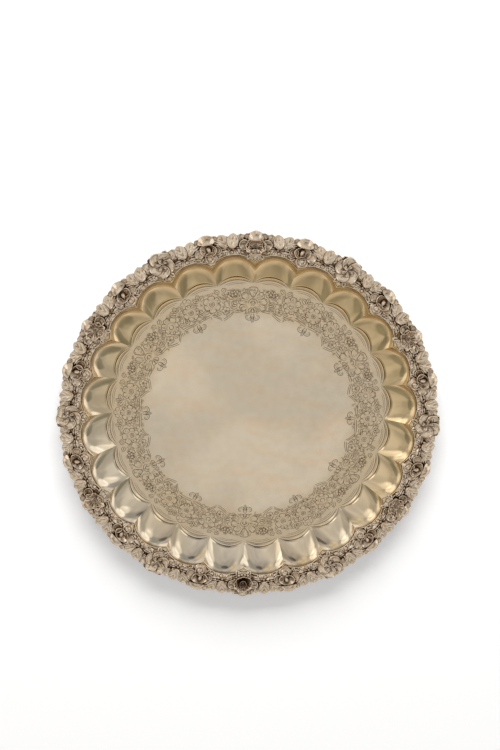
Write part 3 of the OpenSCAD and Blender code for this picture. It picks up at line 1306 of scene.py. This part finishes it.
def whorlTree():
    # repeats one petal round a ring or along a spiral
    tree, f = startTree("petalWhorl", whorlSizes)
    count = Field(tree, tree.nodes.new("GeometryNodeInputIndex").outputs[0])
    angle = f["Turn"] + f["Sweep"] * count / f["Count"]
    r = f["Radius"] + f["Radius step"] * count
    points = tree.nodes.new("GeometryNodePoints")
    tree.links.new(f["Count"].socket, points.inputs["Count"])
    spot = tree.nodes.new("ShaderNodeCombineXYZ")
    for slot, field in enumerate((r * cosine(angle), r * sine(angle), f["Rise"] + f["Rise step"] * count)):
        tree.links.new(field.socket, spot.inputs[slot])
    tree.links.new(spot.outputs[0], points.inputs["Position"])

    chance = tree.nodes.new("FunctionNodeRandomValue")
    chance.data_type = "FLOAT"
    chance.inputs[2].default_value = -1
    chance.inputs[3].default_value = 1
    tree.links.new(f["Seed"].socket, chance.inputs["Seed"])
    wobble = Field(tree, chance.outputs[1]) * f["Jitter"]
    turn = tree.nodes.new("ShaderNodeCombineXYZ")
    for slot, field in enumerate((f["Twist"] + wobble * 2.0, (f["Tilt"] + wobble) * -1.0, angle + wobble)):
        tree.links.new(field.socket, turn.inputs[slot])
    size = f["Size"] + f["Size step"] * count + wobble

    copies = tree.nodes.new("GeometryNodeInstanceOnPoints")
    tree.links.new(points.outputs[0], copies.inputs["Points"])
    tree.links.new(f["Geometry"].socket, copies.inputs["Instance"])
    tree.links.new(turn.outputs[0], copies.inputs["Rotation"])
    tree.links.new(size.socket, copies.inputs["Scale"])
    finishTree(tree, copies.outputs[0], silverCast)
    return tree


petalWhorl = whorlTree()


def whorl(part, **sizes):
    mesh = bpy.data.meshes.new("petal")
    mesh.from_pydata(part["points"], [], part["faces"])
    mesh.attributes.new("foot", "BOOLEAN", "POINT").data.foreach_set("value", part["foot"])
    ring = runTree(petalWhorl, "whorl", dict(whorlSizes, **sizes), mesh)
    points = np.empty(len(ring.vertices) * 3)
    ring.vertices.foreach_get("co", points)
    foot = np.empty(len(ring.vertices), bool)
    ring.attributes["foot"].data.foreach_get("value", foot)
    faces = [tuple(p.vertices) for p in ring.polygons]
    bpy.data.meshes.remove(ring)
    return {"points": points.reshape(-1, 3), "faces": faces, "foot": foot}


class Casting:
    # gathers the lumps of one casting, then stands it on the flange
    def __init__(self):
        self.points = []
        self.faces = []
        self.count = 0

    def add(self, part, x=0, y=0, z=0, turn=0, tilt=0, roll=0, size=1, flip=1):
        # turn, tilt and roll in degrees; tilt lifts the tip; flip -1 mirrors it to the other side
        spin = Matrix.Rotation(math.radians(turn), 3, "Z")
        spin = spin @ Matrix.Rotation(math.radians(-tilt), 3, "Y")
        spin = spin @ Matrix.Rotation(math.radians(roll), 3, "X")
        points = part["points"] @ (np.array(spin) * size).T + (x, y, z)
        points[part["foot"], 2] = 0
        faces = part["faces"]
        if flip < 0:
            points[:, 1] *= -1
            faces = [f[::-1] for f in faces]
        self.points.append(points)
        self.faces += [tuple(i + self.count for i in f) for f in faces]
        self.count += len(points)

    def place(self, name, node, radius, angle):
        points = np.concatenate(self.points)
        points[:, 0] += radius
        points *= 0.001
        c, s = math.cos(angle), math.sin(angle)
        x = points[:, 0] * c - points[:, 1] * s
        y = points[:, 0] * s + points[:, 1] * c
        mesh = bpy.data.meshes.new(name)
        mesh.from_pydata(np.stack((x, y, points[:, 2] + flangeTop), 1), [], self.faces)
        mesh.materials.append(silverCast)
        mesh.polygons.foreach_set("use_smooth", [True] * len(mesh.polygons))
        mesh.update()
        mesh.set_sharp_from_angle(angle=math.radians(48))
        addPiece(name, mesh, node)


border = {
    "radius": 165,       # distance of every casting's own origin from the middle
    "wander": 2.5,       # degrees that a hand-set part may be out
}

back = petal(length=18, width=18, base=0.9, roll=0.3, rib=0.16, ribs=16, root=0, ruffle=0.03, lobes=9,
             rings=4, spokes=36)
seed = petal(length=1.5, width=1.5, base=0.2, dome=0.8, roll=0.1, rings=3, spokes=8)
hood = petal(length=13.6, width=15.4, base=0.9, dome=4.3, belly=2.6, bead=0.35, beadAt=0.92, beadWidth=0.06,
             roll=0.5, ruffle=0.015, lobes=7, open=0.28, rings=12, spokes=48, shell=0.8)
openCup = petal(length=15.5, width=18.5, base=0.8, cup=4.6, bead=0.35, beadAt=0.94, beadWidth=0.05,
                ruffle=0.06, crinkle=0.5, lobes=9, rib=0.34, ribs=18, root=0, rings=12, spokes=72)
fanCup = petal(length=15.5, width=19, base=0.8, cup=4.2, bead=0.25, beadAt=0.94, ruffle=0.09, crinkle=0.7,
               lobes=7, rib=0.5, ribs=14, root=0, rings=12, spokes=70)
darkCup = petal(length=6.4, width=7.6, base=0.9, cup=4.6, bead=0.3, beadAt=0.94, beadWidth=0.05, roll=0.3,
                ruffle=0.03, lobes=5, rings=10, spokes=40)
shellPetal = petal(length=10.5, width=12.5, base=2.0, dome=0.8, rib=0.42, ribs=11, ruffle=0.05, lobes=13,
                   root=1.3, rings=9, spokes=52)
curledPetal = petal(length=9.5, width=9, base=2.0, cup=1.6, bead=0.45, rib=0.16, ribs=8, rings=8)
frill = petal(length=6.8, width=5.6, base=1.5, cup=1.0, bead=0.35, rib=0.2, ribs=7, ruffle=0.05,
              lobes=6, rings=6, spokes=24)
lobe = petal(length=4.6, width=3.2, base=0.5, dome=0.9, keel=0.3, rings=4, spokes=14)

rosePetal = petal(length=12.2, width=13, base=1.4, cup=1.6, dome=0.7, bead=0.45, beadAt=0.88, beadWidth=0.07,
                  rib=0.14, ribs=12, roll=0.8, ruffle=0.025, lobes=5, rings=14, spokes=48)
innerPetal = petal(length=6.4, width=6.2, base=1.8, cup=1.5, bead=0.35, beadAt=0.88, beadWidth=0.08,
                   rings=8, spokes=28)
roseEye = petal(length=4.4, width=4.4, base=2.6, cup=0.5, bead=1.2, beadAt=0.62, beadWidth=0.16,
                rings=7, spokes=24)

tulipHood = petal(length=13.6, width=16.8, base=0.9, dome=4.2, belly=2.4, bead=0.4, beadAt=0.92,
                  beadWidth=0.06, open=0.3, rings=12, spokes=48, shell=0.8)
tulipCup = petal(length=11, width=15.5, base=0.8, cup=3.6, bead=0.5, beadAt=0.93, beadWidth=0.06,
                 rib=0.14, ribs=12, root=0, ruffle=0.02, lobes=5, rings=11, spokes=44)
bud = petal(length=8.6, width=4.8, base=1.0, dome=3.0, belly=2.4, point=0.5, rings=7, spokes=24)
rosette = petal(length=12.4, width=12.4, base=1.6, dome=1.9, belly=1.8, swirl=0.55, turns=2.3,
                ruffle=0.06, lobes=5, rings=18, spokes=40)

ovalLeaf = petal(length=14, width=11, base=1.5, cup=0.6, dome=0.9, bead=0.35, beadAt=0.87, beadWidth=0.07,
                 vein=0.22, veins=3.6, keel=0.6, point=0.45, roll=1.5, rings=14, spokes=52)
roundLeaf = petal(length=10.5, width=10.5, base=1.6, cup=0.9, bead=0.4, beadAt=0.86, beadWidth=0.07,
                  rib=0.3, ribs=13, root=1.1, roll=1.5, ruffle=0.03, lobes=7, rings=13, spokes=52)
longLeaf = petal(length=17, width=7, base=0.8, dome=1.7, vein=0.2, veins=3.6, point=0.55, heel=0.45,
                 keel=1.1, roll=0.6, rings=10, spokes=44)
sharpLeaf = petal(length=9.5, width=5.4, base=0.9, dome=1.4, point=0.6, heel=0.3, keel=1.0, vein=0.16,
                  veins=3, roll=0.5, rings=8, spokes=30)
berry = petal(length=3.9, width=3.9, base=0.8, dome=1.9, belly=2.2, swirl=0.24, turns=1.4,
              rings=8, spokes=20)

roseRing = whorl(rosePetal, Count=5, Radius=6.3, Twist=0.08, Tilt=0.02, Turn=0.2, Jitter=0.03, Seed=3)
innerRing = whorl(innerPetal, Count=5, Radius=3.3, Twist=0.04, Tilt=0.14, Turn=0.8, Jitter=0.03, Seed=6)
seedHeap = whorl(seed, Count=9, Radius=0.7, **{"Radius step": 0.16}, Sweep=16.0, Rise=0.9, Seed=8)
lobeRing = whorl(lobe, Count=19, Radius=8.0, Tilt=0.12, Rise=1.6, Jitter=0.1, Seed=9)
frillRing = whorl(frill, Count=6, Radius=4.1, Tilt=0.1, Size=0.62, Jitter=0.1, Seed=4)
print("petals, leaves and cups are ready")


def addSides(casting, sides, chance):
    # both flanks of a blossom, each part a little out of true
    for part, x, y, z, turn, tilt in sides:
        for side in (1, -1):
            out = turn + chance.uniform(-2, 2) * border["wander"]
            casting.add(part, x, y, z, out, tilt, size=chance.uniform(0.94, 1.07), flip=side)


# one flank of each blossom: part, x, y, z, turn, tilt
poppySides = (
    (sharpLeaf, 3.2, 12.4, 0.0, 62, 0),
    (sharpLeaf, -4.4, 11.8, -0.2, 112, 0),
    (sharpLeaf, -10.4, 5.2, -0.3, 162, 0),
    (frill, 6.4, 7.2, 0.4, 52, 0),
    (frill, -7.2, 7.4, 0.2, 134, 0),
    (curledPetal, -0.8, 9.8, 0.2, 97, -4),
)


def buildPoppy(k, chance):
    bloom = Casting()
    flip = -1 if k % 8 else 1
    bloom.add(back, -1.0, size=1.34)
    addSides(bloom, poppySides, chance)
    if k == 12:
        # the open one, more like a sunflower
        bloom.add(lobeRing, -1.8)
        bloom.add(openCup, -1.8, turn=20)
        bloom.add(darkCup, -1.8, turn=90)
        bloom.add(shellPetal, 7.4, 0, 0, 0, 0, size=0.9)
        bloom.add(frill, 6.2, 4.6, 0.4, 30)
        bloom.add(frill, 6.2, -4.6, 0.4, -30)
    elif k % 12 == 8 or k % 12 == 4:
        bloom.add(shellPetal, -8.6, 1.2 * flip, 0.0, 180, -12, size=0.9)
        bloom.add(fanCup, -1.6, turn=26 * flip)
        bloom.add(seedHeap, -1.6)
        bloom.add(hood, 5.6, 0.6 * flip, 0.8, 6 * flip, -4, size=0.9)
    else:
        bloom.add(shellPetal, -9.0, 0, 0.2, 180, -12)
        bloom.add(openCup, -1.8, turn=6 * flip)
        bloom.add(seedHeap, -1.8)
        bloom.add(hood, 5.0, 0, 0.9, 0, -4)
    number = k // 4 + 1
    bloom.place(f"poppy_{number}", f"poppy_blossom_{number}", border["radius"], turnOf(k))


roseSides = (
    (sharpLeaf, 2.5, 11.8, 0, 66, 0),
    (sharpLeaf, -6.5, 10.2, 0, 122, 0),
    (sharpLeaf, -10.6, 3.2, 0, 152, 0),
    (frill, 7.8, 6.8, 0, 48, 0),
)


def buildRose(k, chance):
    bloom = Casting()
    bloom.add(back, -0.4, size=1.28)
    addSides(bloom, roseSides, chance)
    bloom.add(frill, -9.2, 0, 0, 180)
    spin = chance.uniform(0, 72)
    bloom.add(roseRing, 0.4, turn=spin, size=chance.uniform(0.97, 1.02))
    bloom.add(innerRing, 0.2, turn=spin)
    bloom.add(roseEye, 0.2, z=-0.6, size=0.8)
    number = (k - 2) // 4 + 1
    bloom.place(f"rose_{number}", f"wild_rose_{number}", border["radius"], turnOf(k))


tulipSides = (
    (frill, 6.6, 7.6, 0.0, 50, 0),
    (sharpLeaf, 1.8, 9.4, 0.3, 74, 0),
    (sharpLeaf, -8.4, 6.4, 0.0, 138, 0),
    (curledPetal, -3.6, 8.0, -0.2, 108, 0),
)


def buildTulip(k, chance):
    bloom = Casting()
    lean = 1 if k % 4 == 1 else -1
    bloom.add(back, -1.0, size=1.12)
    bloom.add(back, -7.0, size=0.7)
    addSides(bloom, tulipSides, chance)
    bloom.add(tulipCup, -2.0, 0.5 * lean, 0.4, 14 * lean, -4)
    bloom.add(bud, -1.6, 1.0 * lean, 0.8, 168 * lean)
    bloom.add(tulipHood, 5.0, 0, 0.8, 4 * lean, -3)
    bloom.add(frillRing, -9.4, -0.8 * lean, turn=chance.uniform(0, 60))
    bloom.add(rosette, -9.2, -0.8 * lean, 0.9, turn=chance.uniform(0, 360), flip=lean)
    number = (k + 1) // 2
    bloom.place(f"tulip_{number:02d}", f"tulip_cluster_{number:02d}", border["radius"], turnOf(k))


# a spray, from its tulip side at +Y to its blossom side: part, x, y, z, turn, tilt, size
sprayParts = (
    (back, -1.0, 6.0, 0.0, 0, 0, 0.95),
    (back, -1.0, -3.5, 0.0, 0, 0, 0.95),
    (sharpLeaf, -7.2, 10.6, 0.0, 118, 0, 0.95),
    (sharpLeaf, -6.8, -9.4, 0.0, -116, 0, 0.95),
    (sharpLeaf, -7.4, 6.0, 0.2, 150, 0, 0.8),
    (sharpLeaf, -7.2, -5.4, 0.2, -150, 0, 0.8),
    (longLeaf, -4.2, -5.6, 0.2, -94, 6, 0.72),
    (longLeaf, -4.0, 5.4, 0.6, 98, 6, 0.9),
    (sharpLeaf, 2.2, 12.0, 0.6, 70, 4, 1.1),
    (roundLeaf, 3.8, -8.8, 0.2, -44, -10, 0.95),
    (ovalLeaf, 3.4, 6.8, 0.3, 34, -10, 0.95),
    (ovalLeaf, 3.2, -1.4, 1.2, -14, -12, 1.0),
    (frill, -1.4, 2.4, 1.3, 160, 6, 0.85),
    (berry, -7.0, 0.2, 0.0, 0, 0, 1.05),
    (berry, -4.2, -1.0, 0.6, 40, 0, 0.8),
    (berry, -0.6, -5.0, 1.6, 10, 0, 0.8),
    (berry, -0.6, 7.6, 1.4, 10, 0, 0.85),
)


def buildSpray(k, chance):
    spray = Casting()
    flip = 1 if k % 2 else -1
    for part, x, y, z, turn, tilt, size in sprayParts:
        out = turn + chance.uniform(-2, 2) * border["wander"]
        spray.add(part, x, y, z, out, tilt, size=size * chance.uniform(0.96, 1.04), flip=flip)
    spray.place(f"spray_{k + 1:02d}", f"leaf_spray_{k + 1:02d}", border["radius"], turnOf(k + 0.5))


def turnOf(k):
    # k steps clockwise from +Y
    return math.pi / 2 - k * pitch


for k in range(salver["flutes"]):
    chance = random.Random(100 + k)
    if k % 4 == 0:
        buildPoppy(k, chance)
    elif k % 4 == 2:
        buildRose(k, chance)
    else:
        buildTulip(k, chance)
    buildSpray(k, random.Random(200 + k))
print("castings are set on the flange")
